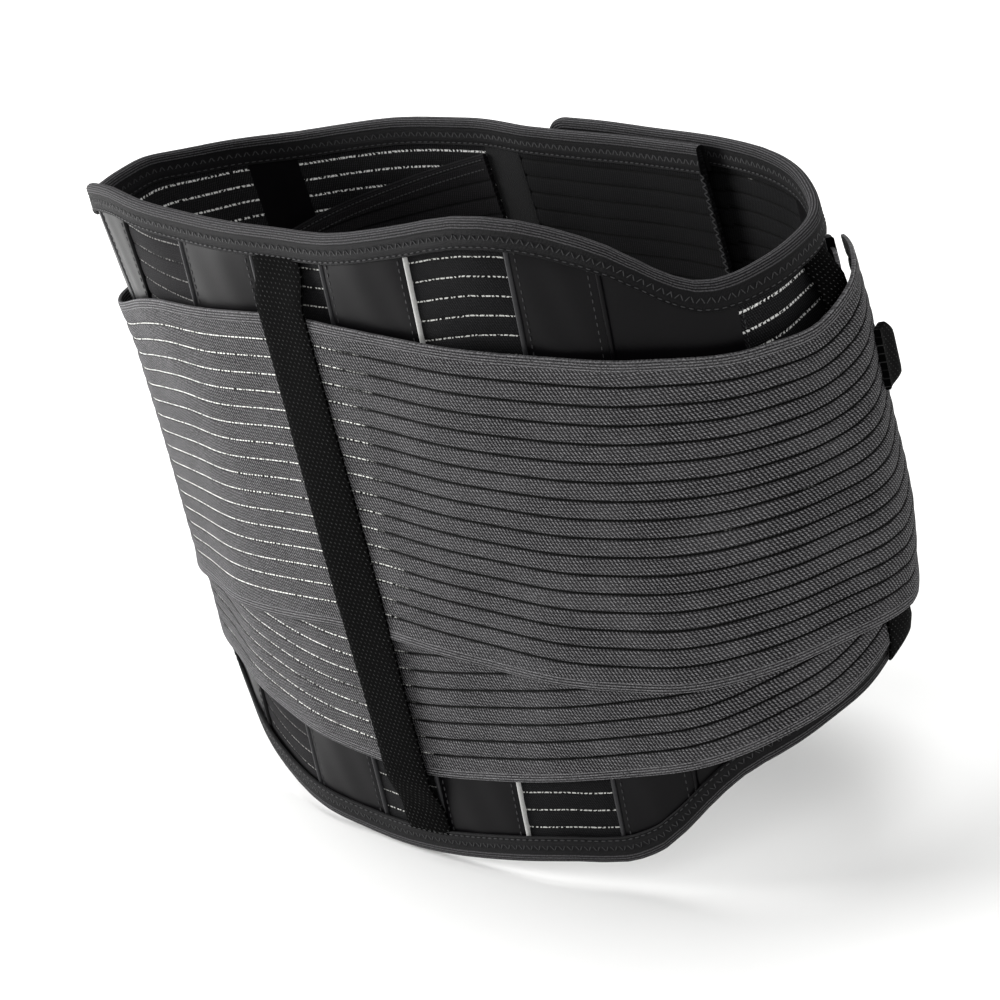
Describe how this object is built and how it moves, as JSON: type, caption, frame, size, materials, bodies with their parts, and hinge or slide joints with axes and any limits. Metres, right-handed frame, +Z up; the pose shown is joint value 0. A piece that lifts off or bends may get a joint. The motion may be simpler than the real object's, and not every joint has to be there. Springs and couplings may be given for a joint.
{
  "type": "lumbar support belt",
  "caption": "Closed lumbar support belt with a deep boned back, ribbed elastic panels, two crossing elastic pull bands, webbing keepers and a lapped front closure.",
  "frame": {"origin": "centre of the waist opening, halfway up the back section", "axes": "+Z up the wearer's spine, +Y towards the front closure, +X towards the wearer's right"},
  "size_m": [0.3664, 0.1834, 0.275],
  "materials": {
    "ribbed_elastic": "ribbed knitted elastic",
    "band_elastic": "woven ribbed elastic",
    "casing_cloth": "smooth satin-faced cloth",
    "webbing": "woven webbing",
    "binding_tape": "folded ribbed elastic tape",
    "lining_velour": "brushed velour",
    "loop_tape": "loop pile",
    "hook_tape": "moulded hooks",
    "stay_steel": "sprung flat steel",
    "thread": "spun polyester thread"
  },
  "bodies": {
    "back": {"centre_elastic": "ribbed_elastic", "spine_webbing": "webbing", "back_casing_left": "casing_cloth", "back_casing_right": "casing_cloth", "back_stay_left": "stay_steel", "back_stay_right": "stay_steel", "back_elastic_left": "ribbed_elastic", "back_elastic_right": "ribbed_elastic", "flank_casing_left": "casing_cloth", "flank_casing_right": "casing_cloth", "flank_stay_left": "stay_steel", "flank_stay_right": "stay_steel", "flank_panel_left": "casing_cloth", "flank_panel_right": "casing_cloth", "top_binding_back": "binding_tape", "bottom_binding_back": "binding_tape", "upper_band_back": "band_elastic", "lower_band_back": "band_elastic"},
    "left_front": {"side_elastic_left": "ribbed_elastic", "side_webbing_left": "webbing", "front_casing_left": "casing_cloth", "front_stay_left": "stay_steel", "front_elastic_left": "ribbed_elastic", "closure_casing_left": "lining_velour", "front_panel_left": "ribbed_elastic", "inner_gusset_left": "ribbed_elastic", "loop_pad_left": "loop_tape", "top_binding_left": "binding_tape", "bottom_binding_left": "binding_tape", "upper_band_side_left": "band_elastic", "lower_band_side_left": "band_elastic"},
    "right_front": {"side_elastic_right": "ribbed_elastic", "side_webbing_right": "webbing", "front_casing_right": "casing_cloth", "front_stay_right": "stay_steel", "front_elastic_right": "ribbed_elastic", "front_panel_right": "ribbed_elastic", "hook_pad_right": "hook_tape", "end_binding_right": "binding_tape", "top_binding_right": "binding_tape", "bottom_binding_right": "binding_tape", "upper_band_side_right": "band_elastic", "lower_band_side_right": "band_elastic"},
    "left_strap": {"upper_band_end_left": "band_elastic", "lower_band_end_left": "band_elastic", "strap_tab_left": "hook_tape", "pull_tab_left": "webbing"},
    "right_strap": {"upper_band_end_right": "band_elastic", "lower_band_end_right": "band_elastic", "strap_tab_right": "hook_tape", "pull_tab_right": "webbing"}
  },
  "joints": [
    {"name": "left_front_fold", "type": "hinge", "parent": "back", "child": "left_front", "pos_m": [-0.15793, -0.01306, 0.016], "axis": [0.0359, 0.0447, -0.9984], "range_deg": [0, 24]},
    {"name": "right_front_swing", "type": "hinge", "parent": "back", "child": "right_front", "pos_m": [0.17359, -0.01966, 0.016], "axis": [-0.0345, 0.0481, -0.9982], "range_deg": [0, 100]},
    {"name": "left_strap_peel", "type": "hinge", "parent": "left_front", "child": "left_strap", "pos_m": [-0.17657, 0.04502, 0.015], "axis": [-0.0315, -0.0799, 0.9963], "range_deg": [0, 70]},
    {"name": "right_strap_peel", "type": "hinge", "parent": "right_front", "child": "right_strap", "pos_m": [0.17657, 0.04502, 0.015], "axis": [-0.0315, 0.0799, -0.9963], "range_deg": [0, 70]}
  ]
}
